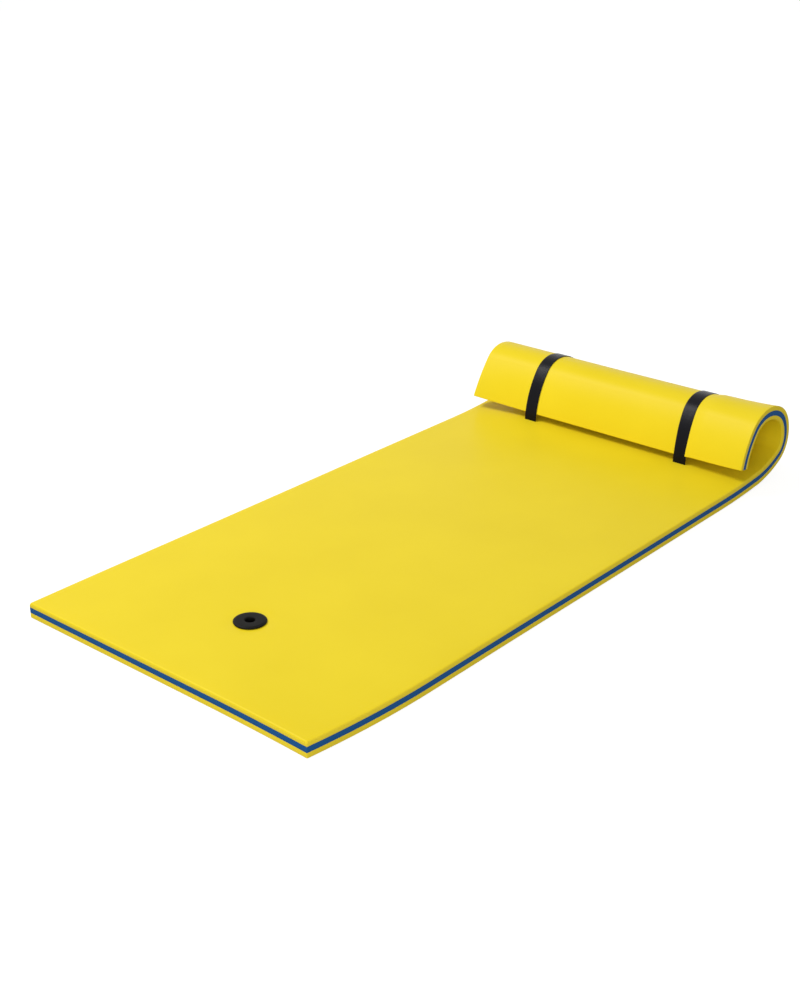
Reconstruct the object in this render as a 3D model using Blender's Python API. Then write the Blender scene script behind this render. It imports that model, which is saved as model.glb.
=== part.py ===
"""Swim float mat: three bonded foam sheets whose head end curls over into a pillow.

Two webbing straps pass through slits in the mat and hold the curl shut. A two-part
plastic grommet near the foot takes a mooring line. The mat lies on z = 0 with its foot
towards -Y and its pillow towards +Y, and the origin is under the middle of its box.
Every hinge has an empty on its axis, and the pieces that it turns are its children.
"""
import math

import bmesh
import bpy
from mathutils import Matrix, Vector

# Foam sheets
SHEETS = ("bottom", "core", "top")
MAT_WIDTH = 0.700
SHEET_THICKNESS = 0.010
BOND_GAP = 0.0003
FLAT_LENGTH = 1.207

# Foot corner on the right, drawn in along a parabola
CORNER_LENGTH = 0.270
CORNER_DRAW = 0.0195
CORNER_FACETS = 8

# Curl of the head end, measured along the middle of the foam
RISE_LENGTH = 0.148
RISE_TURN = 5
ROLL_LENGTH = 0.381
# Each segment is a row of arcs: share of the roll's length, turn in degrees
ROLL_SEGMENT_SHARES = (
    ((0.129, 7), (0.106, 18)),
    ((0.061, 30),),
    ((0.063, 30),),
    ((0.070, 30),),
    ((0.102, 30),),
    ((0.117, 30),),
    ((0.073, 30),),
    ((0.037, 20), (0.242, 32)),
)
FACET_DEGREES = 5

# Mooring grommet
GROMMET_X = -0.004
GROMMET_FROM_FOOT = 0.207
GROMMET_HOLE_RADIUS = 0.009
BARREL_WALL = 0.0020
BARREL_FOOT_CLEARANCE = 0.002
SLEEVE_WALL = 0.0022
SLEEVE_TOP_CLEARANCE = 0.003
FLANGE_RADIUS = 0.030
FLANGE_RIM_THICKNESS = 0.0012
FLANGE_CROWN = 0.0020
FLANGE_LAND_RADIUS = 0.020
BASE_FLANGE_THICKNESS = 0.0022
BASE_RECESS = 0.0005
CROWN_FACETS = 5
GROMMET_SIDES = 48

# Straps
STRAP_WIDTH = 0.030
STRAP_THICKNESS = 0.0015
STRAP_X = {"left": -0.198, "right": 0.187}
SLIT_FROM_FLAT = 0.0890
SLIT_GAP = 0.0006
SLIT_SIDE_GAP = 0.001
FOLD_RADIUS = 0.0014
FLAP_FOLD_RADIUS = 0.004
FOLD_FACET_DEGREES = 15
STEP_LENGTH = 0.014
STEP_FACETS = 6
PATCH_THICKNESS = 0.0010
PATCH_WIDTH = 0.026
TAB_LENGTH = 0.070
TAB_ROOT_TURN = 66
TAB_END_MARGIN = 0.006
TAB_MEASURING_STEPS = 200

# Room left between two pieces that touch, and how far a cutter passes its work
SEAT_GAP = 0.0003
CUT_OVERRUN = 0.004

SHARP_DEGREES = 30
MAT_THICKNESS = len(SHEETS) * SHEET_THICKNESS
HALF = MAT_THICKNESS / 2


def clear_scene():
    for thing in list(bpy.data.objects):
        bpy.data.objects.remove(thing)


def make_material(name, colour, roughness, metallic=0):
    material = bpy.data.materials.new(name)
    material.use_nodes = True
    shader = material.node_tree.nodes["Principled BSDF"]
    shader.inputs["Base Color"].default_value = (*colour, 1)
    shader.inputs["Roughness"].default_value = roughness
    shader.inputs["Metallic"].default_value = metallic
    return material


def place_of(empty):
    """An empty's place from the foot of the mat: its own and its parents' steps, added up."""
    return empty.location + (place_of(empty.parent) if empty.parent else Vector())


def make_empty(name, place, parent=None):
    """An empty at a place given from the foot of the mat, under another empty."""
    empty = bpy.data.objects.new(name, None)
    bpy.context.collection.objects.link(empty)
    empty.location = Vector(place)
    if parent:
        empty.location -= place_of(parent)
        empty.parent = parent
    return empty


def make_object(name, bm, material, parent):
    """Turns a closed bmesh, drawn from the foot of the mat, into an object under an empty."""
    bmesh.ops.recalc_face_normals(bm, faces=bm.faces)
    bmesh.ops.translate(bm, verts=bm.verts, vec=-place_of(parent))
    mesh = bpy.data.meshes.new(name)
    bm.to_mesh(mesh)
    bm.free()
    mesh.materials.append(material)
    mesh.shade_smooth()
    mesh.set_sharp_from_angle(angle=math.radians(SHARP_DEGREES))
    piece = bpy.data.objects.new(name, mesh)
    bpy.context.collection.objects.link(piece)
    piece.parent = parent
    return piece


def cut(piece, cutter):
    """Takes the cutter out of the piece, and keeps the cutter as a hidden guide."""
    modifier = piece.modifiers.new(cutter.name, "BOOLEAN")
    modifier.operation = "DIFFERENCE"
    modifier.solver = "EXACT"
    modifier.object = cutter
    cutter.hide_render = True
    cutter.display_type = "WIRE"


class Profile:
    """The middle of the foam in side view: a straight run, then arcs that keep tangent."""

    def __init__(self, straight, arcs):
        self.straight = straight
        self.arcs = []
        along, y, z, angle = straight, straight, HALF, 0
        for length, degrees in arcs:
            turn = math.radians(degrees)
            self.arcs.append((along, length, y, z, angle, turn))
            y, z = self._step(y, z, angle, length, turn)
            along += length
            angle += turn
        self.length = along

    @staticmethod
    def _step(y, z, angle, length, turn):
        radius = length / turn
        y += radius * (math.sin(angle + turn) - math.sin(angle))
        z -= radius * (math.cos(angle + turn) - math.cos(angle))
        return y, z

    def at(self, along):
        """(y, z, angle) at a distance along the foam from its foot."""
        if along <= self.straight:
            return along, HALF, 0
        reached = (arc for arc in self.arcs if along <= arc[0] + arc[1])
        start, length, y, z, angle, turn = next(reached, self.arcs[-1])
        share = (along - start) / length
        y, z = self._step(y, z, angle, length * share, turn * share)
        return y, z, angle + turn * share

    def offset(self, along, out):
        """A point at a distance outside the middle of the foam: (y, z)."""
        y, z, angle = self.at(along)
        return Vector((y + out * math.sin(angle), z - out * math.cos(angle)))

    def stations(self, start, end):
        """Distances along the foam from start to end, with no facet over FACET_DEGREES."""
        found = [start]
        for first, length, _, _, _, turn in self.arcs:
            low, high = max(start, first), min(end, first + length)
            if high > low:
                share = (high - low) / length
                count = max(1, math.ceil(share * math.degrees(turn) / FACET_DEGREES))
                found += [low + (high - low) * i / count for i in range(count + 1)]
        found.append(end)
        return sorted(set(found))

    def where(self, degrees):
        """The distance along the foam at which it has turned by this much."""
        wanted = math.radians(degrees)
        for start, length, _, _, angle, turn in self.arcs:
            if angle <= wanted <= angle + turn:
                return start + length * (wanted - angle) / turn


def make_profile():
    arcs = [(RISE_LENGTH, RISE_TURN)]
    for segment in ROLL_SEGMENT_SHARES:
        arcs += [(share * ROLL_LENGTH, turn) for share, turn in segment]
    return Profile(FLAT_LENGTH, arcs)


def segment_ends():
    """Where the roll's segments start and end, as distances along the foam."""
    ends = [FLAT_LENGTH + RISE_LENGTH]
    for segment in ROLL_SEGMENT_SHARES:
        ends.append(ends[-1] + ROLL_LENGTH * sum(share for share, _ in segment))
    return ends


def right_edge(along):
    """Half the width on the right side, drawn in near the foot."""
    share = max(0, 1 - along / CORNER_LENGTH)
    return MAT_WIDTH / 2 - CORNER_DRAW * share**2


def make_strip(rows, left, rights):
    """A closed strip: one row of (low point, high point) per station, swept left to right."""
    bm = bmesh.new()
    rings = []
    for (low, high), right in zip(rows, rights):
        corners = [(left, *low), (right, *low), (right, *high), (left, *high)]
        rings.append([bm.verts.new(corner) for corner in corners])
    for ring, following in zip(rings, rings[1:]):
        for i in range(4):
            j = (i + 1) % 4
            bm.faces.new((ring[i], ring[j], following[j], following[i]))
    bm.faces.new(rings[0])
    bm.faces.new(rings[-1])
    return bm


def sheet_strip(profile, layer, start, end):
    """One foam sheet between two stations, counted from the underside up."""
    low = layer * SHEET_THICKNESS - HALF
    high = low + SHEET_THICKNESS
    if layer > 0:
        low += BOND_GAP / 2
    if layer < len(SHEETS) - 1:
        high -= BOND_GAP / 2
    stations = profile.stations(start, end)
    if start == 0:
        corner = [CORNER_LENGTH * i / CORNER_FACETS for i in range(CORNER_FACETS + 1)]
        stations = sorted(set(stations + corner))
    rows = [(profile.offset(s, -low), profile.offset(s, -high)) for s in stations]
    return make_strip(rows, -MAT_WIDTH / 2, [right_edge(s) for s in stations])


def turned(outline, centre):
    """A closed ring turned about the vertical through a centre, from (radius, z) points."""
    bm = bmesh.new()
    verts = [bm.verts.new((radius, 0, z)) for radius, z in outline]
    edges = [bm.edges.new(pair) for pair in zip(verts, verts[1:] + verts[:1])]
    bmesh.ops.spin(
        bm,
        geom=verts + edges,
        cent=(0, 0, 0),
        axis=(0, 0, 1),
        angle=math.tau,
        steps=GROMMET_SIDES,
        use_merge=True,
    )
    bmesh.ops.translate(bm, verts=bm.verts, vec=(*centre, 0))
    return bm


def make_cylinder(name, radius, low, high, centre, parent, material):
    bm = bmesh.new()
    bmesh.ops.create_cone(
        bm,
        cap_ends=True,
        segments=GROMMET_SIDES,
        radius1=radius,
        radius2=radius,
        depth=high - low,
        matrix=Matrix.Translation((*centre, (low + high) / 2)),
    )
    return make_object(name, bm, material, parent)


def make_box(name, low, high, parent, material):
    bm = bmesh.new()
    matrix = Matrix.Translation((low + high) / 2) @ Matrix.Diagonal((*(high - low), 1))
    bmesh.ops.create_cube(bm, size=1, matrix=matrix)
    return make_object(name, bm, material, parent)


def grommet_centre():
    return GROMMET_X, GROMMET_FROM_FOOT


def sleeve_radius():
    return GROMMET_HOLE_RADIUS + BARREL_WALL + SEAT_GAP + SLEEVE_WALL


def make_grommet(root, plastic):
    """The cap with its barrel, and the base whose sleeve the barrel is pressed into."""
    seat = MAT_THICKNESS + SEAT_GAP
    rim_top = seat + FLANGE_RIM_THICKNESS
    barrel = GROMMET_HOLE_RADIUS + BARREL_WALL
    cap = [
        (GROMMET_HOLE_RADIUS, BARREL_FOOT_CLEARANCE),
        (barrel, BARREL_FOOT_CLEARANCE),
        (barrel, seat),
        (FLANGE_RADIUS, seat),
        (FLANGE_RADIUS, rim_top),
    ]
    slope = FLANGE_RADIUS - FLANGE_LAND_RADIUS
    for i in range(1, CROWN_FACETS + 1):
        angle = math.pi / 2 * i / CROWN_FACETS
        drawn_in = slope * (1 - math.cos(angle))
        cap.append((FLANGE_RADIUS - drawn_in, rim_top + FLANGE_CROWN * math.sin(angle)))
    cap.append((GROMMET_HOLE_RADIUS, rim_top + FLANGE_CROWN))
    make_object("grommet_cap", turned(cap, grommet_centre()), plastic, root)
    inner, outer = barrel + SEAT_GAP, sleeve_radius()
    flange_top = BASE_RECESS + BASE_FLANGE_THICKNESS
    base = [
        (inner, BASE_RECESS),
        (FLANGE_RADIUS, BASE_RECESS),
        (FLANGE_RADIUS, flange_top),
        (outer, flange_top),
        (outer, MAT_THICKNESS - SLEEVE_TOP_CLEARANCE),
        (inner, MAT_THICKNESS - SLEEVE_TOP_CLEARANCE),
    ]
    make_object("grommet_base", turned(base, grommet_centre()), plastic, root)


def slit_place():
    """The y of the slit's middle."""
    return FLAT_LENGTH + SLIT_FROM_FLAT


def make_cutters(root, material):
    """Cutters for the grommet's bore and base, and for the two strap slits."""
    top = MAT_THICKNESS + CUT_OVERRUN
    recess = BASE_RECESS + BASE_FLANGE_THICKNESS + SEAT_GAP
    centre = grommet_centre()
    bore = make_cylinder(
        "bore_cutter", sleeve_radius() + SEAT_GAP, -CUT_OVERRUN, top, centre, root, material
    )
    base = make_cylinder(
        "base_cutter", FLANGE_RADIUS + SEAT_GAP, -CUT_OVERRUN, recess, centre, root, material
    )
    half_width = STRAP_WIDTH / 2 + SLIT_SIDE_GAP
    half_gap = STRAP_THICKNESS / 2 + SLIT_GAP
    slits = []
    for side, x in STRAP_X.items():
        low = Vector((x - half_width, slit_place() - half_gap, -CUT_OVERRUN))
        high = Vector((x + half_width, slit_place() + half_gap, top + CUT_OVERRUN))
        slits.append(make_box(side + "_slit_cutter", low, high, root, material))
    return bore, base, slits


def make_mat(profile, root, hinges, foams):
    """The flat mat and the roll's segments, three sheets each."""
    ends = segment_ends()
    bore, base, slits = make_cutters(root, foams["core"])
    for layer, name in enumerate(SHEETS):
        bm = sheet_strip(profile, layer, 0, ends[0] - SEAT_GAP / 2)
        sheet = make_object(name + "_sheet_mat", bm, foams[name], root)
        for cutter in (bore, *slits):
            cut(sheet, cutter)
        if layer == 0:
            cut(sheet, base)
        for k, (start, end) in enumerate(zip(ends, ends[1:]), 1):
            stop = end if end == ends[-1] else end - SEAT_GAP / 2
            bm = sheet_strip(profile, layer, start + SEAT_GAP / 2, stop)
            make_object(f"{name}_sheet_roll_{k}", bm, foams[name], hinges[k - 1])


def rounded(points, radii):
    """A path through corner points, each rounded by an arc of its own radius."""
    path = [points[0]]
    for before, corner, after, radius in zip(points, points[1:], points[2:], radii):
        back = (before - corner).normalized()
        ahead = (after - corner).normalized()
        turn = math.pi - back.angle(ahead)
        reach = radius * math.tan(turn / 2)
        centre = corner + (back + ahead).normalized() * radius / math.cos(turn / 2)
        first, last = corner + back * reach - centre, corner + ahead * reach - centre
        count = max(2, math.ceil(math.degrees(turn) / FOLD_FACET_DEGREES))
        swing = math.atan2(first.x * last.y - first.y * last.x, first.dot(last))
        for i in range(count + 1):
            path.append(centre + Matrix.Rotation(swing * i / count, 2) @ first)
    path.append(points[-1])
    return path


def surface_path(profile, start, end, out):
    """Points beside the foam's outer face, from one distance along it to another."""
    if end < start:
        return surface_path(profile, end, start, out)[::-1]
    return [profile.offset(s, HALF + out) for s in profile.stations(start, end)]


def webbing_rows(path, thickness):
    """The two faces of a band of even thickness along a path in the (y, z) plane."""
    facets = [(end - start).normalized() for start, end in zip(path, path[1:])]
    rows = []
    for point, before, after in zip(path, facets[:1] + facets, facets + facets[-1:]):
        along = (before + after).normalized()
        across = Vector((-along.y, along.x)) * thickness / 2 / along.dot(after)
        rows.append((point - across, point + across))
    return rows


def make_band(name, path, width, thickness, x, material, parent):
    rows = webbing_rows(path, thickness)
    bm = make_strip(rows, x - width / 2, [x + width / 2] * len(rows))
    return make_object(name, bm, material, parent)


def strap_offsets():
    """How far out from the foam the middles of the strap's layers lie."""
    wrap = SEAT_GAP + STRAP_THICKNESS / 2
    loop = SEAT_GAP + STRAP_THICKNESS + SEAT_GAP + PATCH_THICKNESS / 2
    hook = loop + PATCH_THICKNESS + SEAT_GAP
    tab = hook + PATCH_THICKNESS / 2 + SEAT_GAP + STRAP_THICKNESS / 2
    return wrap, loop, hook, tab


def tab_root(profile):
    """The distance along the foam, at its outer face, where the strap's tab starts."""
    return profile.where(TAB_ROOT_TURN)


def tab_end(profile):
    """Steps along the foam until the tab has its length at its own distance out."""
    out = HALF + strap_offsets()[3]
    along, reached = tab_root(profile), 0
    while reached < TAB_LENGTH:
        before = profile.offset(along, out)
        along += TAB_LENGTH / TAB_MEASURING_STEPS
        reached += (profile.offset(along, out) - before).length
    return along


def strap_path(profile):
    """The strap from under its tab, over the curl, down through the slit and back up."""
    wrap, _, _, tab = strap_offsets()
    root = tab_root(profile)
    over = surface_path(profile, root + TAB_END_MARGIN / 2, profile.length, wrap)
    heading = (over[-1] - over[-2]).normalized()
    lying_face = profile.offset(slit_place(), -HALF).y
    slit_top = Vector((slit_place(), lying_face + STRAP_THICKNESS))
    slit_foot = Vector((slit_place(), profile.offset(slit_place(), HALF + wrap).y))
    step_start, step_end = root - STEP_LENGTH, root - SEAT_GAP
    fold_run = 3 * FOLD_RADIUS
    back = surface_path(profile, slit_place() + fold_run, step_start, wrap)
    corners = [over[-1], over[-1] + heading * FLAP_FOLD_RADIUS, slit_top, slit_foot, back[0]]
    folds = rounded(corners, [FLAP_FOLD_RADIUS, FOLD_RADIUS, FOLD_RADIUS])
    step = []
    for i in range(1, STEP_FACETS + 1):
        share = i / STEP_FACETS
        out = wrap + (tab - wrap) * share**2 * (3 - 2 * share)
        along = step_start + (step_end - step_start) * share
        step.append(profile.offset(along, HALF + out))
    return over + folds[1:-1] + back + step


def make_strap(side, profile, root, tab_hinge, webbing, fastener):
    """One strap: its band through the slit and round the curl, its tab and two patches."""
    x = STRAP_X[side]
    _, loop, hook, tab = strap_offsets()
    start, stop = tab_root(profile), tab_end(profile)
    band = strap_path(profile)
    make_band(side + "_strap_band", band, STRAP_WIDTH, STRAP_THICKNESS, x, webbing, root)
    path = surface_path(profile, start, stop, tab)
    make_band(side + "_strap_tab", path, STRAP_WIDTH, STRAP_THICKNESS, x, webbing, tab_hinge)
    patch_start, patch_stop = start + TAB_END_MARGIN, stop - TAB_END_MARGIN
    for name, out, parent in (("_loop_patch", loop, root), ("_hook_patch", hook, tab_hinge)):
        path = surface_path(profile, patch_start, patch_stop, out)
        make_band(side + name, path, PATCH_WIDTH, PATCH_THICKNESS, x, fastener, parent)


def length_of_box(profile):
    """How far the part reaches in y from its foot: the strap's tab is the last thing."""
    out = strap_offsets()[3] + STRAP_THICKNESS / 2
    return max(point.x for point in surface_path(profile, tab_root(profile), tab_end(profile), out))


def main():
    clear_scene()
    profile = make_profile()
    root = make_empty("mat_frame", (0, 0, 0))
    hinges, parent = [], root
    for k, along in enumerate(segment_ends()[:-1], 1):
        parent = make_empty(f"roll_hinge_{k}", (0, *profile.offset(along, HALF)), parent)
        hinges.append(parent)
    foams = {
        "top": make_material("yellow_foam_top", (0.88, 0.67, 0.04), 0.55),
        "core": make_material("blue_foam_core", (0.03, 0.10, 0.30), 0.6),
        "bottom": make_material("yellow_foam_bottom", (0.88, 0.67, 0.04), 0.55),
    }
    plastic = make_material("grommet_plastic", (0.03, 0.03, 0.035), 0.4)
    webbing = make_material("strap_webbing", (0.012, 0.012, 0.018), 0.5)
    fastener = make_material("fastener_tape", (0.015, 0.015, 0.018), 0.9)
    make_mat(profile, root, hinges, foams)
    make_grommet(root, plastic)
    axis_out = HALF + strap_offsets()[3] + STRAP_THICKNESS / 2
    axis_along = tab_root(profile) - SEAT_GAP / 2
    for side, x in STRAP_X.items():
        place = (x, *profile.offset(axis_along, axis_out))
        tab_hinge = make_empty(side + "_tab_hinge", place, root)
        make_strap(side, profile, root, tab_hinge, webbing, fastener)
    root.location.y = -length_of_box(profile) / 2


main()
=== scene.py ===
import math

import bmesh
import bpy
import numpy as np
from mathutils import Matrix, Vector


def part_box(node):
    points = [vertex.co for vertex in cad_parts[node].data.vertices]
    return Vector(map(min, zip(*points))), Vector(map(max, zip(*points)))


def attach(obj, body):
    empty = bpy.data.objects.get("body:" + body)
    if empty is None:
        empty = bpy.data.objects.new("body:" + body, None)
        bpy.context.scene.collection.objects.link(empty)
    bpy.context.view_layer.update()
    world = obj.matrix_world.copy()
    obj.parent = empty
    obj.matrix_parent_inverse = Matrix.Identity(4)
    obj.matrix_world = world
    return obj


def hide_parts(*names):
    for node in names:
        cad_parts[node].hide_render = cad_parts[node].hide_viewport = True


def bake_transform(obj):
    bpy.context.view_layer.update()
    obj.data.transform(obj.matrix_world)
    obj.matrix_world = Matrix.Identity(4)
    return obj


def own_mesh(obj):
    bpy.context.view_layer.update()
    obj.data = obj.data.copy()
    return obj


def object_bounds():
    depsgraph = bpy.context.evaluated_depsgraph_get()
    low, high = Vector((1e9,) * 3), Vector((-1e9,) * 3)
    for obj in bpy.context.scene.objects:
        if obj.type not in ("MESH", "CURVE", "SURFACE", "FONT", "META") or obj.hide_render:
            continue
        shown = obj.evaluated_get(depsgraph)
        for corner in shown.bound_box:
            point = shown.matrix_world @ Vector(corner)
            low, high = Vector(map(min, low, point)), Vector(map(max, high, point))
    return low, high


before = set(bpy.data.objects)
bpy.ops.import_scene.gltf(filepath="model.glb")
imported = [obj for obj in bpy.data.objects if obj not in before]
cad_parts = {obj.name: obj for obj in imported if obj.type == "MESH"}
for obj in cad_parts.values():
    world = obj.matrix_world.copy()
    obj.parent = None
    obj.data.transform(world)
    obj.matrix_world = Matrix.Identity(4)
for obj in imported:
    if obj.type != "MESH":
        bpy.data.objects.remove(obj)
cad_low, cad_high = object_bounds()


# Camera
# It stands off the right foot corner at chest height, and looks down along the mat at the
# angle of the photograph.
CAMERA_PLACE = (1.7363, -2.1860, 1.3303)
CAMERA_YAW = 40.310
CAMERA_PITCH = 24.168
CAMERA_ROLL = 0.084
CAMERA_LENS = 56.34


def turn(degrees, axis):
    return Matrix.Rotation(math.radians(degrees), 4, axis)


camera = bpy.data.objects.new("camera", bpy.data.cameras.new("camera"))
bpy.context.collection.objects.link(camera)
camera.matrix_world = (
    Matrix.Translation(CAMERA_PLACE)
    @ turn(CAMERA_YAW, "Z")
    @ turn(90 - CAMERA_PITCH, "X")
    @ turn(CAMERA_ROLL, "Z")
)
camera.data.lens = CAMERA_LENS
bpy.context.scene.camera = camera
bpy.context.scene.view_settings.view_transform = "Standard"


# Foam: how the mat lies and curls
# Three soft closed-cell sheets, bonded face to face, lie flat and then curl back over
# themselves into the pillow. The straps draw the curl in, and both of its ends spring
# out past them, the right one the most.
FOAM_WIDTH = 0.700
FOAM_THICKNESS = 0.030
HALF = FOAM_THICKNESS / 2
FLAT_RUN = 1.207
RISE = (0.148, 5)
# Arcs of the curl, in metres and degrees: between the straps, at the left, at the right
CURL = (
    (0.049149, 7), (0.040386, 18), (0.023241, 30), (0.024003, 30), (0.026670, 30),
    (0.038862, 30), (0.044577, 30), (0.027813, 30), (0.014097, 20), (0.092202, 32),
)
CURL_LEFT = (
    (0.0491, 7), (0.0404, 18), (0.0220, 30), (0.0235, 30), (0.0277, 30),
    (0.0415, 30), (0.0470, 30), (0.0282, 30), (0.0138, 20), (0.0945, 14.2),
)
CURL_RIGHT = (
    (0.0443, 7), (0.0519, 18), (0.0204, 30), (0.0235, 30), (0.0365, 30),
    (0.0367, 30), (0.0523, 30), (0.0415, 30), (0.0172, 20), (0.0845, 29),
)
# Where the eight stiff segments of the frame start and end, as counts of arcs
SEGMENT_ARCS = (2, 4, 5, 6, 7, 8, 9, 10, 12)
FOOT_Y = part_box("bottom_sheet_mat")[0][1]
CORNER_LENGTH = 0.270
CORNER_DRAW = 0.0195
FOOT_SKEW = 0.004
FOOT_SKEW_LENGTH = 0.3
FOOT_CORNER = 0.0055
FOOT_CORNER_START = 0.10
RIGHT_SPREAD = 0.0022
SPREAD_FADE = 0.08
FLARE_START_LEFT = -0.213
FLARE_START_RIGHT = 0.198
FLARE_STEP = 0.030
FLARE_STEP_SHARE = 0.40
FLARE_POWER_LEFT = 1.5
FLARE_POWER_RIGHT = 2.5
# Two crossing swells keep the faces from being dead flat. Each is in radians: per metre
# across, per metre along, and at the middle of the foot
SWELLS = ((9.1, 3.3, 0.4), (-4.1, 5.2, 0.0))
SWELL_HEIGHT = 0.0004
SWELL_FADE = 0.1


class SideView:
    """The middle of the foam seen from the side: a flat run, then arcs that keep tangent."""

    def __init__(self, arcs):
        y, z, angle, along, rows = FLAT_RUN, HALF, 0.0, FLAT_RUN, []
        for length, degrees in (RISE,) + arcs:
            bend = math.radians(degrees)
            rows.append((y, z, angle, length, bend, along))
            radius = length / bend
            y += radius * (math.sin(angle + bend) - math.sin(angle))
            z -= radius * (math.cos(angle + bend) - math.cos(angle))
            angle += bend
            along += length
        self.rows = np.array(rows)
        self.bends = self.rows[:, 4]
        self.joins = np.append(self.rows[:, 5], along)

    def count(self, along):
        """A distance along the foam as a count: 0 to 1 is the flat run, then 1 per arc."""
        marks = np.concatenate([[0.0], self.joins])
        return np.interp(along, marks, np.arange(len(marks)))

    def at(self, count):
        """(y, z, angle) from the foot, at counts of arcs."""
        arc = np.clip(np.floor(count).astype(int) - 1, 0, len(self.rows) - 1)
        share = np.maximum(count - 1 - arc, 0)
        y, z, angle, length, bend, _ = np.moveaxis(self.rows[arc], -1, 0)
        radius = length / bend
        reached = angle + bend * share
        flat = np.minimum(count, 1) * FLAT_RUN
        in_arc = count > 1
        y = np.where(in_arc, y + radius * (np.sin(reached) - np.sin(angle)), flat)
        z = np.where(in_arc, z - radius * (np.cos(reached) - np.cos(angle)), HALF)
        return y, z, np.where(in_arc, reached, 0)


def ease(share):
    share = np.clip(share, 0, 1)
    return share * share * (3 - 2 * share)


middle_view, left_view, right_view = map(SideView, (CURL, CURL_LEFT, CURL_RIGHT))
FOAM_LENGTH = middle_view.joins[-1]
segment_ends = middle_view.joins[np.array(SEGMENT_ARCS) - 1]


def foam_point(across, along, out):
    """A point of the foam from its place across, along, and out from its middle."""
    across, along, out = np.broadcast_arrays(across, along, out)
    edge = FOAM_WIDTH / 2
    past_left = (FLARE_START_LEFT - across) / (FLARE_START_LEFT + edge)
    left = np.clip(past_left, 0, 1) ** FLARE_POWER_LEFT
    past = across - FLARE_START_RIGHT
    bulge = np.clip(past / (edge - FLARE_START_RIGHT), 0, 1) ** FLARE_POWER_RIGHT
    right = FLARE_STEP_SHARE * ease(past / FLARE_STEP) + (1 - FLARE_STEP_SHARE) * bulge
    count = middle_view.count(along)
    views = (middle_view, left_view, right_view)
    shares = (1 - left - right, left, right)
    y, z, angle = (
        sum(share * value for share, value in zip(shares, values))
        for values in zip(*(view.at(count) for view in views))
    )
    swell = math.prod(np.sin(a * across + b * along + c) for a, b, c in SWELLS)
    out = out + SWELL_HEIGHT * swell * ease(along / SWELL_FADE)
    near_foot = np.clip(1 - along / FOOT_SKEW_LENGTH, 0, 1) ** 2
    corner = np.clip((across - FOOT_CORNER_START) / (edge - FOOT_CORNER_START), 0, 1) ** 2
    y = y + out * np.sin(angle) - (FOOT_SKEW * across + FOOT_CORNER * corner) * near_foot
    return np.stack([across, y + FOOT_Y, z - out * np.cos(angle)], -1)


def right_edge(along):
    """How far out the right edge lies: spread on the flat run, drawn in at the foot corner."""
    draw = CORNER_DRAW * np.clip(1 - along / CORNER_LENGTH, 0, 1) ** 2
    spread = RIGHT_SPREAD * (1 - ease((along - FLAT_RUN - RISE[0]) / SPREAD_FADE))
    return FOAM_WIDTH / 2 + spread - draw


# Foam: the three sheets
# Yellow, blue and yellow foam, about 10 mm each, die-cut together, so that the blue core
# shows as a band all round. The skins are smooth and the cut sides open-celled. Each
# sheet is one piece of foam, and here it is made in eight lengths.
SHEETS = {"bottom": (0.0150, 0.0050), "core": (0.0050, -0.0060), "top": (-0.0060, -0.0150)}
UNDER_ROUND = 0.0014
TOP_ROUND = 0.0040
BOND_ROUND = 0.0005
BOND_GAP = 0.0001
PLAN_ROUND = 0.0012
ROUND_STEPS = 5
BEND_STEP = math.radians(1.5)
FLAT_STEP = 0.030
COLUMNS = 44
GROMMET_X = -0.004
GROMMET_ALONG = 0.207
FINE_REACH = 0.060
FINE_STEP = 0.005
FINE_MARKS = np.arange(-FINE_REACH, FINE_REACH + FINE_STEP, FINE_STEP)
DIMPLE = 0.0009
DIMPLE_RADIUS = 0.030
DIMPLE_FADE = 0.013
END_STEPS = 9
END_MARKS = TOP_ROUND * (1 - np.cos(np.linspace(0, math.pi / 2, END_STEPS + 1)))
NEAREST_MARKS = 0.00005
NEAREST_COLUMNS = 0.001
SHARP_FOAM = math.radians(50)


def rounding(radius, distance):
    """How far a rounded edge has drawn in, at a distance from the end of the piece."""
    short = np.clip(radius - distance, 0, radius)
    return radius - np.sqrt(radius**2 - short**2)


def foam_stations(start, end):
    """Distances along the foam at which its shape is drawn, close where it bends."""
    marks = [start, end]
    joins = middle_view.joins
    for first, last, bend in zip(joins, joins[1:], middle_view.bends):
        low, high = max(start, first), min(end, last)
        if high > low:
            steps = max(2, math.ceil(bend * (high - low) / (last - first) / BEND_STEP))
            marks += list(np.linspace(low, high, steps + 1))
    if start == 0:
        marks += list(np.arange(0, FLAT_RUN, FLAT_STEP)) + list(END_MARKS)
        marks += list(GROMMET_ALONG + FINE_MARKS)
    if end == FOAM_LENGTH:
        marks += list(end - END_MARKS)
    marks = np.unique(np.round(marks, decimals=6))
    return marks[np.append(True, np.diff(marks) > NEAREST_MARKS)]


def foam_columns(at_foot):
    """Shares of the width at which the foam's shape is drawn, without its two edges."""
    marks = np.linspace(0, 1, COLUMNS + 1)[1:-1]
    if at_foot:
        marks = np.unique(np.append(marks, (GROMMET_X + FINE_MARKS) / FOAM_WIDTH + 0.5))
        marks = marks[np.append(True, np.diff(marks) > NEAREST_COLUMNS)]
    return marks


def edge_round(face):
    """The edge's radius at a face of a sheet: the two skins are rounder than the bonds."""
    return {HALF: UNDER_ROUND, -HALF: TOP_ROUND}.get(face, BOND_ROUND)


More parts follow.
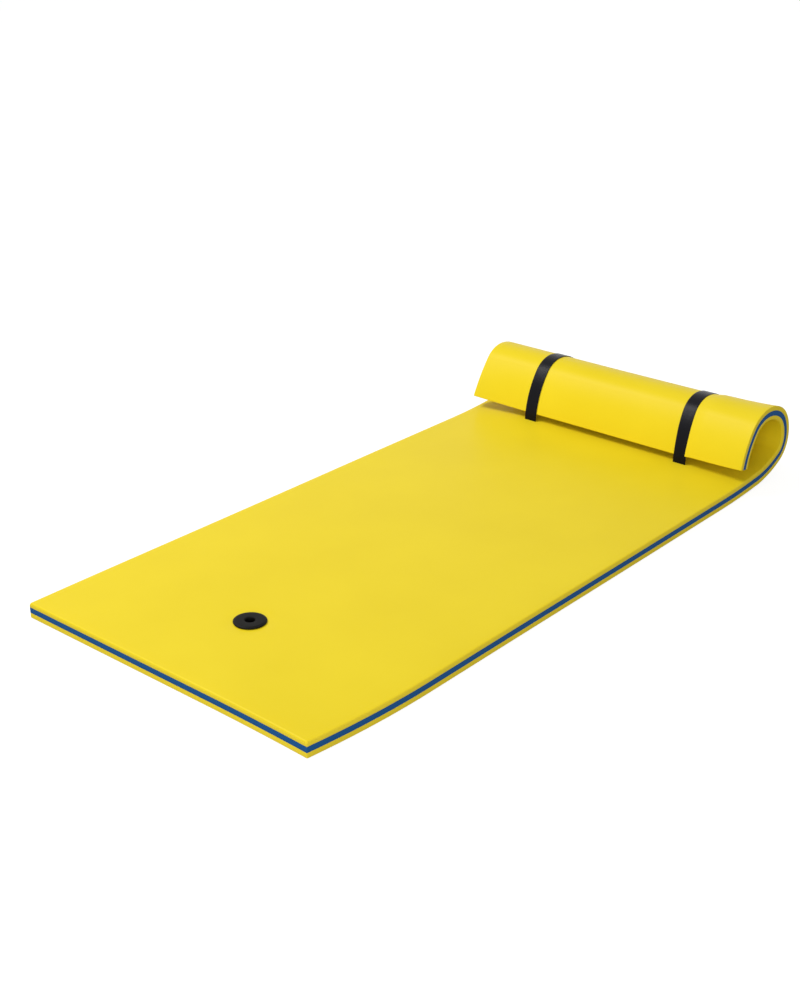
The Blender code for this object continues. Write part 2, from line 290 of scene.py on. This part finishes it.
def foam_outline(under, over, columns):
    """One cut through a sheet: (share of width, draw-in, out, how much it is a cut side)."""
    rows = []
    for face, sign in ((under, -1), (over, 1)):
        radius = edge_round(face)
        face = face + sign * (radius == BOND_ROUND) * BOND_GAP / 2
        bends = np.linspace(0, math.pi / 2, ROUND_STEPS + 1)
        side = [
            (0, radius * (1 - math.cos(b)), face + sign * radius * (1 - math.sin(b)), math.cos(b))
            for b in bends
        ]
        flat = [(column, 0, face, 0) for column in columns]
        rows.append(side + flat + [(1, -d, o, c) for _, d, o, c in side[::-1]])
    return np.array(rows[0] + rows[1][::-1])


def piece_from(name, bm, sharp=None):
    """A new object from a finished bmesh, smooth but for edges sharper than an angle."""
    if sharp is not None:
        bmesh.ops.recalc_face_normals(bm, faces=bm.faces)
    mesh = bpy.data.meshes.new(name)
    bm.to_mesh(mesh)
    bm.free()
    if sharp is not None:
        mesh.shade_smooth()
        mesh.set_sharp_from_angle(angle=sharp)
    piece = bpy.data.objects.new(name, mesh)
    bpy.context.collection.objects.link(piece)
    return piece


def foam_mesh(name, sheet, start, end):
    """A closed length of one sheet, with both ends of the mat rounded as its sides are."""
    at_foot, at_head = start == 0, end == FOAM_LENGTH
    under, over = SHEETS[sheet]
    outline = foam_outline(under, over, foam_columns(at_foot))
    along = foam_stations(start, end)
    from_end = np.full(len(along), FOAM_LENGTH)
    if at_foot:
        from_end = np.minimum(from_end, along)
    if at_head:
        from_end = np.minimum(from_end, end - along)
    share, draw, out, cut = (column[None, :] for column in outline.T)
    along, from_end = along[:, None], from_end[:, None]
    half = len(outline) // 2
    is_under = (np.arange(len(outline)) < half)[None, :]
    at_side = np.where(share == 0, 1, np.where(share == 1, -1, 0))
    corner = at_side * rounding(PLAN_ROUND, from_end)
    inset = np.where(
        is_under,
        -rounding(edge_round(under), from_end),
        rounding(edge_round(over), from_end),
    )
    across = share * (right_edge(along) + FOAM_WIDTH / 2) - FOAM_WIDTH / 2 + draw + corner
    out = out + inset
    if at_foot:
        away = np.hypot(across - GROMMET_X, along - GROMMET_ALONG)
        pressed = DIMPLE * np.exp(-((np.maximum(away - DIMPLE_RADIUS, 0) / DIMPLE_FADE) ** 2))
        # Only the two skins are pressed in, the bonds between the sheets aren't
        skin = np.where(is_under, under == HALF, over == -HALF)
        out = out + pressed * skin * np.where(is_under, -1, 1)
    points = foam_point(across, along + 0 * across, out)
    cut = np.maximum(cut + 0 * along, np.clip(1 - from_end / BOND_ROUND, 0, 1))
    bm = bmesh.new()
    verts = [[bm.verts.new(p) for p in row] for row in points]
    ring = len(outline)
    for row, following in zip(verts, verts[1:]):
        for i in range(ring):
            j = (i + 1) % ring
            bm.faces.new((row[i], row[j], following[j], following[i]))
    for row in (verts[0], verts[-1]):
        for i in range(half - 1):
            bm.faces.new((row[i], row[i + 1], row[ring - 2 - i], row[ring - 1 - i]))
    piece = piece_from(name, bm, SHARP_FOAM)
    cut_side = piece.data.attributes.new("cut_side", "FLOAT", "POINT")
    cut_side.data.foreach_set("value", cut.ravel())
    return piece


def cut_out(piece, cutter):
    """Takes a cutter out of a piece for good."""
    modifier = piece.modifiers.new("cut", "BOOLEAN")
    modifier.operation = "DIFFERENCE"
    modifier.solver = "EXACT"
    modifier.object = cutter
    bpy.context.view_layer.update()
    shown = piece.evaluated_get(bpy.context.evaluated_depsgraph_get())
    mesh = bpy.data.meshes.new_from_object(shown)
    piece.modifiers.clear()
    old, piece.data = piece.data, mesh
    bpy.data.meshes.remove(old)


def make_cutter(name, make, **sizes):
    """A shape to be cut out of the foam, from what makes such a shape and its sizes."""
    bm = bmesh.new()
    make(bm, **sizes)
    return piece_from(name, bm)


THROUGH = 4 * FOAM_THICKNESS
BORE_SIDES = 64
BORE_RADIUS = 0.0138
RECESS_RADIUS = 0.0303
RECESS_DEPTH = 0.003
STRAP_X = {"left": -0.198, "right": 0.187}
STRAP_LEAN = {"left": 0.001, "right": 0.0075}
STRAP_WIDTH = 0.030
SLIT_ALONG = 1.296
SLIT_PLAY = 0.0015
SLIT_GAPE = 0.0024
bore_place = Matrix.Translation((GROMMET_X, FOOT_Y + GROMMET_ALONG, HALF))
bore_sizes = ((BORE_RADIUS, THROUGH, 0), (RECESS_RADIUS, 2 * RECESS_DEPTH, -HALF))
cutters = [
    make_cutter(
        "bore_cutter", bmesh.ops.create_cone, cap_ends=True, segments=BORE_SIDES,
        radius1=radius, radius2=radius, depth=depth,
        matrix=bore_place @ Matrix.Translation((0, 0, lift)),
    )
    for radius, depth, lift in bore_sizes
]
for side, strap_x in STRAP_X.items():
    slit_place = Matrix.Translation((strap_x + STRAP_LEAN[side], FOOT_Y + SLIT_ALONG, HALF))
    slit_place = slit_place @ Matrix.Diagonal((STRAP_WIDTH + SLIT_PLAY, SLIT_GAPE, THROUGH, 1))
    cutters.append(make_cutter("slit_cutter", bmesh.ops.create_cube, size=1, matrix=slit_place))

middles = [(low + high) / 2 for low, high in zip(segment_ends, segment_ends[1:])]
length_marks = [0.0] + middles[:-1] + [FOAM_LENGTH]
bodies = ["mat"] + [f"roll_{k}" for k in range(1, 9)]
foam_pieces = {}
for sheet in SHEETS:
    for k, (start, end) in enumerate(zip(length_marks, length_marks[1:]), 1):
        piece = foam_mesh(f"{sheet}_foam_{k}", sheet, start, end)
        if k == 1:
            for cutter in cutters:
                cut_out(piece, cutter)
        foam_pieces[sheet, k] = piece
for cutter in cutters:
    bpy.data.objects.remove(cutter)

BEND_REACH = 0.070
PROBE_COLUMNS = 15
probe_across = np.linspace(-FOAM_WIDTH / 2, FOAM_WIDTH / 2, PROBE_COLUMNS)[:, None]
probe_out = np.array([[-HALF, HALF]])
for (sheet, k), piece in foam_pieces.items():
    hinge = segment_ends[k - 1]
    low = max(length_marks[k - 1], hinge - BEND_REACH)
    high = min(length_marks[k], hinge + BEND_REACH)
    first, last = (Vector(foam_point(0.0, mark, 0.0)) for mark in (low, high))
    heading = (last - first).normalized()
    # How far the two end faces reach along the heading near the hinge. The result is not used.
    faces = [foam_point(probe_across, mark, probe_out).reshape(-1, 3) for mark in (low, high)]
    before = max((faces[0] - np.array(first)) @ np.array(heading))
    after = min((faces[1] - np.array(first)) @ np.array(heading))
    start, end = first + heading * before, first + heading * after
    bodies[k - 1]
    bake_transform(piece)
    replaced = [f"{sheet}_sheet_roll_{k}"] + ([f"{sheet}_sheet_mat"] if k == 1 else [])
    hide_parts(*replaced)


# Foam: finish
# Crosslinked foam: a satin skin with a fine grain and a faint mottle, and cut sides where
# the small cells lie open and take the light more dully. On the yellow sheets the cut sides
# are painted paler and brighter than the skin. This is painted light that lifts the shaded sides
# and stands in for the pale highlight along their edges, over the less saturated open-cell tone.
class Wire:
    """One output of a material's nodes, on which its maths can be written as sums."""

    def __init__(self, socket):
        self.socket = socket

    def node(self, kind, settings=(), sockets=(), out=0):
        """Any other node of the same material: its settings first, then its sockets."""
        made = self.socket.id_data.nodes.new("ShaderNode" + kind)
        for key, value in dict(settings).items():
            setattr(made, key, value)
        for key, value in dict(sockets).items():
            feed(made.inputs[key], value)
        return Wire(made.outputs[out])

    def math(self, operation, *others):
        """One Math node, with this value in its first socket."""
        return self.node("Math", {"operation": operation}, dict(enumerate((self, *others))))

    def between(self, low, high):
        """A colour from low to high, where this value goes from 0 to 1."""
        return self.node("Mix", {"data_type": "RGBA"}, {0: self, 6: low, 7: high}, out=2)

    def span(self, low, high):
        """0 at low, 1 at high, and clipped outside them."""
        return self.node("MapRange", {"clamp": True}, {"Value": self, 1: low, 2: high})

    def __add__(self, other):
        return self.math("ADD", other)

    def __mul__(self, other):
        return self.math("MULTIPLY", other)

    def __sub__(self, other):
        return self.math("SUBTRACT", other)

    def __rsub__(self, other):
        return self.node("Math", {"operation": "SUBTRACT"}, {0: other, 1: self})

    __radd__ = __add__
    __rmul__ = __mul__


def feed(socket, value):
    """A socket gets a wire, a number or a colour."""
    if isinstance(value, Wire):
        socket.id_data.links.new(value.socket, socket)
    elif isinstance(value, tuple) and len(value) == 3 and socket.type == "RGBA":
        socket.default_value = (*value, 1)
    else:
        socket.default_value = value


def new_finish(name):
    """A material, its shader, and a first wire from which its nodes are made."""
    material = bpy.data.materials.new(name)
    material.use_nodes = True
    shader = material.node_tree.nodes["Principled BSDF"]
    return material, shader, Wire(shader.outputs[0])


def relief(shader, height, strength, distance):
    """Fine relief on a finish, from a height that goes from 0 to 1 over a distance."""
    sockets = {"Strength": strength, "Distance": distance, "Height": height}
    feed(shader.inputs["Normal"], height.node("Bump", sockets=sockets))


MOTTLE_SCALE = 5.0
GRAIN_SCALE = 650.0
CELL_SCALE = 1100.0
SKIN_ROUGHNESS = 0.36
CUT_ADDED_ROUGHNESS = 0.30
GRAIN_SHARE = 0.35
FOAM_GLOSS = 0.12


def foam_finish(name, skin_tones, cut_tones):
    material, shader, first = new_finish(name)
    place = first.node("TexCoord", out="Object")
    mottle = first.node(
        "TexNoise", sockets={"Vector": place, "Scale": MOTTLE_SCALE, "Detail": 3.0}
    )
    grain = first.node(
        "TexNoise", sockets={"Vector": place, "Scale": GRAIN_SCALE, "Detail": 2.0}
    )
    cells = first.node(
        "TexVoronoi", {"feature": "F1"}, {"Vector": place, "Scale": CELL_SCALE}, out="Distance"
    )
    cut = first.node("Attribute", {"attribute_name": "cut_side"}, out="Fac")
    skin = mottle.span(0.3, 0.7).between(*skin_tones)
    # Cut sides take the cut tones, and on the yellow sheets these hold painted light.
    cut_side_colour = cells.span(0.1, 0.7).between(*cut_tones)
    feed(shader.inputs["Base Color"], cut.between(skin, cut_side_colour))
    roughness = SKIN_ROUGHNESS + 0.05 * mottle + 0.05 * grain + CUT_ADDED_ROUGHNESS * cut
    feed(shader.inputs["Roughness"], roughness)
    height = (1 - cut) * grain * GRAIN_SHARE + cut * cells
    relief(shader, height, strength=0.25, distance=0.0003)
    feed(shader.inputs["Specular IOR Level"], FOAM_GLOSS)
    return material


yellow_foam = foam_finish(
    "yellow_foam_finish",
    skin_tones=((0.84, 0.645, 0.012), (0.87, 0.675, 0.016)),
    # Yellow cut tones: the open-cell tone, raised with painted light for the shaded cut sides and
    # a painted edge highlight.
    cut_tones=((0.90, 0.67, 0.028), (0.97, 0.75, 0.042)),
)
blue_foam = foam_finish(
    "blue_foam_finish",
    skin_tones=((0.010, 0.075, 0.26), (0.014, 0.090, 0.30)),
    cut_tones=((0.006, 0.072, 0.22), (0.013, 0.103, 0.31)),
)
for (sheet, _), piece in foam_pieces.items():
    piece.data.materials.clear()
    piece.data.materials.append(blue_foam if sheet == "core" else yellow_foam)


# Straps
# Black polypropylene webbing, 30 mm wide. Each goes up from under the mat through a slit,
# over the pillow and down its back, where its hook tab closes on a loop patch.
STRAP_THICKNESS = 0.0015
SEAT_GAP = 0.0003
PATCH_THICKNESS = 0.0010
PATCH_WIDTH = 0.026
TAB_LENGTH = 0.070
TAB_ROOT_TURN = math.radians(66)
TAB_MARGIN = 0.006
STEP_LENGTH = 0.014
STEP_POINTS = 8
STRAP_COLUMNS = 30
EDGE_CROWDING = 0.5
STRAP_RIBS = 9
RIB_HEIGHT = 0.00007
SELVEDGE = 0.0022
SELVEDGE_THICKNESS = 0.55
TAB_END_ROUND = 0.002
PATCH_END_ROUND = 0.003
FOLD_RADIUS = 0.0014
FOLD_CLEARANCE = 3 * FOLD_RADIUS
FLAP_FOLD_RADIUS = 0.004
LEAN_START = 1.620
LEAN_FADE = 0.060
BAND_STEP = 0.003
TAB_STEP = 0.001
PROBE_STEP = 0.0003
TURN_STEPS = 4000
NEAREST_POINTS = 0.00001
SHARP_WEBBING = math.radians(50)


def outer_path(side, start, end, lift, step=BAND_STEP):
    """Points beside the foam's outer face, from one distance along it to another."""
    steps = max(2, math.ceil(abs(end - start) / step))
    marks = np.linspace(start, end, steps + 1)
    down_flap = ease((marks - LEAN_START) / (FOAM_LENGTH - LEAN_START))
    under_mat = 1 - ease((marks - SLIT_ALONG) / LEAN_FADE)
    lean = STRAP_LEAN[side] * np.where(marks < LEAN_START, under_mat, down_flap)
    return foam_point(STRAP_X[side] + lean, marks, HALF + lift)


def rounded_path(corners, radii, steps=7):
    """A side-view path through corners, each rounded by an arc of its own radius."""
    path = [corners[0]]
    for before, corner, after, radius in zip(corners, corners[1:], corners[2:], radii):
        back = (before - corner) / np.linalg.norm(before - corner)
        ahead = (after - corner) / np.linalg.norm(after - corner)
        bend = math.pi - math.acos(np.clip(back @ ahead, -1, 1))
        middle = (back + ahead) / np.linalg.norm(back + ahead)
        centre = corner + middle * radius / math.cos(bend / 2)
        first = corner + back * radius * math.tan(bend / 2) - centre
        last = corner + ahead * radius * math.tan(bend / 2) - centre
        swing = math.atan2(first[0] * last[1] - first[1] * last[0], first @ last)
        for i in range(steps + 1):
            c, s = math.cos(swing * i / steps), math.sin(swing * i / steps)
            turned = (c * first[0] - s * first[1], s * first[0] + c * first[1])
            path.append(centre + np.array(turned))
    return path + [corners[-1]]


def webbing(name, path, width, thickness, ribs=0, end_round=0.0):
    """A woven band swept along a path, with thin selvedges and shallow ribs."""
    path = np.array(path)
    steps = np.linalg.norm(np.diff(path, axis=0), axis=1)
    path = path[np.append(True, steps > NEAREST_POINTS)]
    middle_x, path = path[:, 0], path[:, 1:]
    heading = np.diff(path, axis=0)
    heading /= np.linalg.norm(heading, axis=1)[:, None]
    mean = np.vstack([heading[:1], heading[:-1] + heading[1:], heading[-1:]])
    mean /= np.linalg.norm(mean, axis=1)[:, None]
    across = np.stack([-mean[:, 1], mean[:, 0]], -1)
    travelled = np.append(0, np.cumsum(np.linalg.norm(np.diff(path, axis=0), axis=1)))
    crowded = np.sin(np.linspace(-math.pi / 2, math.pi / 2, STRAP_COLUMNS + 1))
    even = np.linspace(-1, 1, STRAP_COLUMNS + 1)
    shares = EDGE_CROWDING * crowded + (1 - EDGE_CROWDING) * even
    from_end = np.minimum(travelled, travelled[-1] - travelled)
    half_width = width / 2 - rounding(end_round, from_end)
    xs = half_width[:, None] * shares
    from_edge = width / 2 * (1 - np.abs(shares))
    swell = np.sqrt(1 - (1 - np.clip(from_edge / SELVEDGE, 0, 1)) ** 2)
    thick = thickness / 2 * (SELVEDGE_THICKNESS + (1 - SELVEDGE_THICKNESS) * swell)
    if ribs:
        ribbed = np.cos(math.pi * ribs * shares) * (from_edge > SELVEDGE)
        thick = thick + RIB_HEIGHT * (ribbed - 1)
    bm = bmesh.new()
    layer = bm.loops.layers.uv.new("weave")
    grids = []
    for side in (1, -1):
        offset = across[:, None, :] * (side * thick)[None, :, None]
        points = path[:, None, :] + offset
        grids.append([
            [bm.verts.new((x, *p)) for x, p in zip(row_x, row)]
            for row_x, row in zip(middle_x[:, None] + xs, points)
        ])
    top, under = grids

    def face(corners):
        """A face through places on the two sides, with the weave laid over it."""
        made = bm.faces.new([grid[i][j] for grid, i, j in corners])
        for loop, (_, i, j) in zip(made.loops, corners):
            loop[layer].uv = (xs[i, j], travelled[i])

    def wall(here, there):
        """A face of the rim, which closes the band from one place to the next."""
        face([(top, *here), (top, *there), (under, *there), (under, *here)])

    last = len(shares) - 1
    for i in range(len(path) - 1):
        for j in range(last):
            corners = [(i, j), (i, j + 1), (i + 1, j + 1), (i + 1, j)]
            face([(top, *corner) for corner in corners])
            face([(under, *corner) for corner in corners[::-1]])
        for j in (0, last):
            wall((i, j), (i + 1, j))
    for i in (0, len(path) - 1):
        for j in range(last):
            wall((i, j), (i, j + 1))
    return piece_from(name, bm, SHARP_WEBBING)


wrap = SEAT_GAP + STRAP_THICKNESS / 2
loop_lift = SEAT_GAP + STRAP_THICKNESS + SEAT_GAP + PATCH_THICKNESS / 2
hook_lift = loop_lift + PATCH_THICKNESS + SEAT_GAP
tab_lift = hook_lift + PATCH_THICKNESS / 2 + SEAT_GAP + STRAP_THICKNESS / 2

turn_marks = np.linspace(0, FOAM_LENGTH, TURN_STEPS + 1)
turned_to = middle_view.at(middle_view.count(turn_marks))[2]
curled = turned_to > 0
tab_root = float(np.interp(TAB_ROOT_TURN, turned_to[curled], turn_marks[curled]))
# The tab keeps its own length at its distance out, where the foam under it is shorter
probe = outer_path("left", tab_root, tab_root + TAB_LENGTH, tab_lift, PROBE_STEP)
probe_run = np.append(0, np.cumsum(np.linalg.norm(np.diff(probe, axis=0), axis=1)))
foam_share = float(np.interp(TAB_LENGTH, probe_run, np.linspace(0, 1, len(probe))))
tab_end = tab_root + TAB_LENGTH * foam_share

strap_pieces = {}
for side, strap_x in STRAP_X.items():
    over = outer_path(side, tab_root + TAB_MARGIN / 2, FOAM_LENGTH, wrap)
    heading = (over[-1] - over[-2])[1:]
    heading = heading / np.linalg.norm(heading)
    low_x = strap_x + STRAP_LEAN[side]
    slit_top = foam_point(low_x, SLIT_ALONG, -HALF)[1:] + (0, STRAP_THICKNESS)
    slit_foot = foam_point(low_x, SLIT_ALONG, HALF + wrap)[1:]
    slit_foot[0] = slit_top[0]
    step_start, step_end = tab_root - STEP_LENGTH, tab_root - SEAT_GAP
    back = outer_path(side, SLIT_ALONG + FOLD_CLEARANCE, step_start, wrap)
    flap_end = over[-1][1:]
    fold_start = flap_end + heading * FLAP_FOLD_RADIUS
    corners = [flap_end, fold_start, slit_top, slit_foot, back[0][1:]]
    folds = rounded_path(corners, [FLAP_FOLD_RADIUS, FOLD_RADIUS, FOLD_RADIUS])[1:-1]
    folds = np.column_stack([np.full(len(folds), low_x), folds])
    shares = np.linspace(0, 1, STEP_POINTS + 1)[1:]
    lifts = HALF + wrap + (tab_lift - wrap) * ease(shares)
    step = foam_point(strap_x, step_start + (step_end - step_start) * shares, lifts)
    band = np.vstack([over, folds, back, step])
    strap_pieces[side, "strap_band"] = webbing(
        side + "_webbing_band", band, STRAP_WIDTH, STRAP_THICKNESS, STRAP_RIBS
    )
    tab = outer_path(side, tab_root, tab_end, tab_lift, TAB_STEP)
    strap_pieces[side, "strap_tab"] = webbing(
        side + "_webbing_tab", tab, STRAP_WIDTH, STRAP_THICKNESS, STRAP_RIBS, TAB_END_ROUND
    )
    for patch, lift in (("loop_patch", loop_lift), ("hook_patch", hook_lift)):
        path = outer_path(side, tab_root + TAB_MARGIN, tab_end - TAB_MARGIN, lift, TAB_STEP)
        strap_pieces[side, patch] = webbing(
            f"{side}_{patch}_tape", path, PATCH_WIDTH, PATCH_THICKNESS, end_round=PATCH_END_ROUND
        )

for (side, part), piece in strap_pieces.items():
    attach(piece, side + "_tab" if part in ("strap_tab", "hook_patch") else "mat")
    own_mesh(piece)
    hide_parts(f"{side}_{part}")


RIB_PITCH = 0.00333
PICK_PITCH = 0.0016
PICK_SLANT = 1.5
FUZZ_SCALE = 900.0
WEBBING_TONES = ((0.0015, 0.0015, 0.003), (0.006, 0.006, 0.009))
WEBBING_ROUGHNESS = 0.24
WEBBING_GLOSS = 0.11
TAPE_TONES = ((0.006, 0.006, 0.008), (0.028, 0.028, 0.032))


def webbing_finish():
    """Ribs along the webbing, crossed by picks that slant a little on each rib."""
    material, shader, first = new_finish("webbing_finish")
    weave = first.node("UVMap", {"uv_map": "weave"})
    u, v = (first.node("SeparateXYZ", sockets={"Vector": weave}, out=i) for i in (0, 1))
    rib = (u * (math.tau / RIB_PITCH)).math("SINE")
    slant = rib.math("ABSOLUTE") * PICK_SLANT
    pick = (v * (math.tau / PICK_PITCH) + slant).math("SINE")
    yarn = rib * pick
    fuzz = first.node("TexNoise", sockets={"Vector": weave, "Scale": FUZZ_SCALE, "Detail": 3.0})
    tone = 0.5 + 0.3 * yarn + 0.4 * (fuzz - 0.5)
    feed(shader.inputs["Base Color"], tone.between(*WEBBING_TONES))
    feed(shader.inputs["Roughness"], WEBBING_ROUGHNESS + 0.10 * fuzz + 0.05 * yarn)
    relief(shader, 0.5 * yarn + 0.25 * fuzz, strength=0.30, distance=0.0002)
    feed(shader.inputs["Specular IOR Level"], WEBBING_GLOSS)
    return material


def tape_finish(name, scale, roughness):
    """The tufts of a hook or loop tape, small and soft or large and stiff."""
    material, shader, first = new_finish(name)
    place = first.node("TexCoord", out="Object")
    tufts = first.node("TexVoronoi", sockets={"Vector": place, "Scale": scale}, out="Distance")
    fuzz = first.node("TexNoise", sockets={"Vector": place, "Scale": scale, "Detail": 4.0})
    feed(shader.inputs["Base Color"], (tufts * fuzz * 2.0).between(*TAPE_TONES))
    feed(shader.inputs["Roughness"], roughness + 0.1 * fuzz)
    relief(shader, tufts + fuzz, strength=0.8, distance=0.0004)
    return material


webbing_material = webbing_finish()
tape_materials = {
    "loop_patch": tape_finish("loop_tape_finish", scale=1400.0, roughness=0.85),
    "hook_patch": tape_finish("hook_tape_finish", scale=700.0, roughness=0.6),
}
for (_, part), piece in strap_pieces.items():
    piece.data.materials.append(tape_materials.get(part, webbing_material))


# Grommet
# Moulded black plastic in two halves: the cap's flange is pressed into the lying face, and
# its barrel is pressed into the sleeve of the base under the mat.
GROMMET_SIDES = 128
HOLE_RADIUS = 0.009
BARREL_RADIUS = 0.011
FLANGE_RADIUS = 0.030
SHARP_PLASTIC = math.radians(35)


def lathe(name, outline):
    """A closed ring turned about the grommet's axis, from (radius, z) points."""
    bm = bmesh.new()
    verts = [bm.verts.new((radius, 0, z)) for radius, z in outline]
    edges = [bm.edges.new(pair) for pair in zip(verts, verts[1:] + verts[:1])]
    bmesh.ops.spin(
        bm, geom=verts + edges, cent=(0, 0, 0), axis=(0, 0, 1), angle=math.tau,
        steps=GROMMET_SIDES, use_merge=True,
    )
    bmesh.ops.translate(bm, verts=bm.verts, vec=(GROMMET_X, FOOT_Y + GROMMET_ALONG, 0))
    return piece_from(name, bm, SHARP_PLASTIC)


def bead(radius, z, size, start, end, steps=8):
    """Points of an arc of the outline: about (radius, z), from one angle to another."""
    angles = np.radians(np.linspace(start, end, steps + 1))
    return [(radius + size * math.cos(a), z + size * math.sin(a)) for a in angles]


cap_outline = (
    [(HOLE_RADIUS, 0.0020), (BARREL_RADIUS - 0.0006, 0.0020), (BARREL_RADIUS, 0.0034)]
    + [(BARREL_RADIUS, 0.0296), (FLANGE_RADIUS - 0.0012, 0.0291)]
    + bead(FLANGE_RADIUS - 0.0014, 0.0308, 0.0014, -60, 90)
    + [(0.0270, 0.0331), (0.0262, 0.0334), (0.0245, 0.0335), (0.0160, 0.0334)]
    + bead(HOLE_RADIUS + 0.0026, 0.0307, 0.0026, 90, 180)
)
base_outline = (
    [(0.0113, 0.0005), (0.0276, 0.0005)]
    + bead(FLANGE_RADIUS - 0.0012, 0.0017, 0.0012, -90, 90)
    + [(0.0135, 0.0029), (0.0135, 0.0262), (0.0130, 0.0270), (0.0113, 0.0270)]
)
cap = lathe("grommet_cap_ring", cap_outline)
base = lathe("grommet_base_ring", base_outline)
for piece, node in ((cap, "grommet_cap"), (base, "grommet_base")):
    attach(piece, "mat")
    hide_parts(node)


PLASTIC_TONES = ((0.0045, 0.004, 0.003), (0.008, 0.007, 0.006))
PLASTIC_ROUGHNESS = 0.46
PLASTIC_GLOSS = 0.08


def plastic_finish():
    """Spark-eroded mould texture, a little worn in places."""
    material, shader, first = new_finish("grommet_plastic_finish")
    place = first.node("TexCoord", out="Object")
    spark = first.node("TexNoise", sockets={"Vector": place, "Scale": 2200.0, "Detail": 2.0})
    wear = first.node("TexNoise", sockets={"Vector": place, "Scale": 60.0, "Detail": 4.0})
    feed(shader.inputs["Base Color"], wear.span(0.35, 0.75).between(*PLASTIC_TONES))
    feed(shader.inputs["Roughness"], PLASTIC_ROUGHNESS + 0.12 * wear)
    feed(shader.inputs["Specular IOR Level"], PLASTIC_GLOSS)
    relief(shader, spark, strength=0.3, distance=0.0001)
    return material


plastic = plastic_finish()
for piece in (cap, base):
    piece.data.materials.append(plastic)


# Floor and light
# A white studio: a pale floor that burns out to white round the mat, a soft light above on
# the left, a lower one off the foot, and an even white surround.
FLOOR_SIZE = 60.0
FLOOR_GAP = 0.0005
FLOOR_TONE = 0.42
FLOOR_SHADE = 0.32
FLOOR_GLOW = 0.865
SURROUND = 0.43
WHITE = (1.0, 1.0, 1.0)
floor_material, _, floor_first = new_finish("floor_white")


def seen_directly(first):
    """1 where the camera sees a thing, straight, off gloss or through glass, 0 for its light."""
    kinds = ("Camera", "Glossy", "Transmission")
    return sum(first.node("LightPath", out=f"Is {kind} Ray") for kind in kinds).span(0.0, 1.0)


seen_floor = seen_directly(floor_first)
pale = floor_first.node("BsdfDiffuse", sockets={"Color": (FLOOR_TONE,) * 3})
soft = floor_first.node("BsdfDiffuse", sockets={"Color": (FLOOR_SHADE,) * 3})
glow = floor_first.node("Emission", sockets={"Color": WHITE, "Strength": FLOOR_GLOW})
bright = floor_first.node("AddShader", sockets={0: soft, 1: glow})
floor_mix = floor_first.node("MixShader", sockets={0: seen_floor, 1: pale, 2: bright})
floor_output = floor_material.node_tree.nodes["Material Output"]
feed(floor_output.inputs["Surface"], floor_mix)
reach = FLOOR_SIZE / 2
floor_z = float(cad_low[2]) - FLOOR_GAP
floor_corners = ((-reach, -reach), (reach, -reach), (reach, reach), (-reach, reach))
floor_mesh = bpy.data.meshes.new("floor")
floor_mesh.from_pydata([(x, y, floor_z) for x, y in floor_corners], [], [(0, 1, 2, 3)])
floor_mesh.materials.append(floor_material)
floor = bpy.data.objects.new("floor", floor_mesh)
bpy.context.collection.objects.link(floor)

world = bpy.data.worlds.new("surround")
world.use_nodes = True
bpy.context.scene.world = world
background = world.node_tree.nodes["Background"]
seen_sky = seen_directly(Wire(background.outputs[0]))
feed(background.inputs["Color"], WHITE)
feed(background.inputs["Strength"], SURROUND + (1 - SURROUND) * seen_sky)


def soft_light(name, place, aim, size, power):
    lamp = bpy.data.lights.new(name, "AREA")
    lamp.shape = "RECTANGLE"
    lamp.size, lamp.size_y = size
    lamp.energy = power
    lamp_object = bpy.data.objects.new(name, lamp)
    bpy.context.collection.objects.link(lamp_object)
    lamp_object.location = place
    towards = Vector(aim) - Vector(place)
    lamp_object.rotation_euler = towards.to_track_quat("-Z", "Y").to_euler()


soft_light("key_light", place=(-1.9, -0.95, 3.25), aim=(0.0, 0.3, 0.0), size=(1.5, 1.6), power=86)
soft_light("front_light", place=(2.2, -3.4, 1.2), aim=(0.0, 0.2, 0.0), size=(2.0, 1.2), power=54)
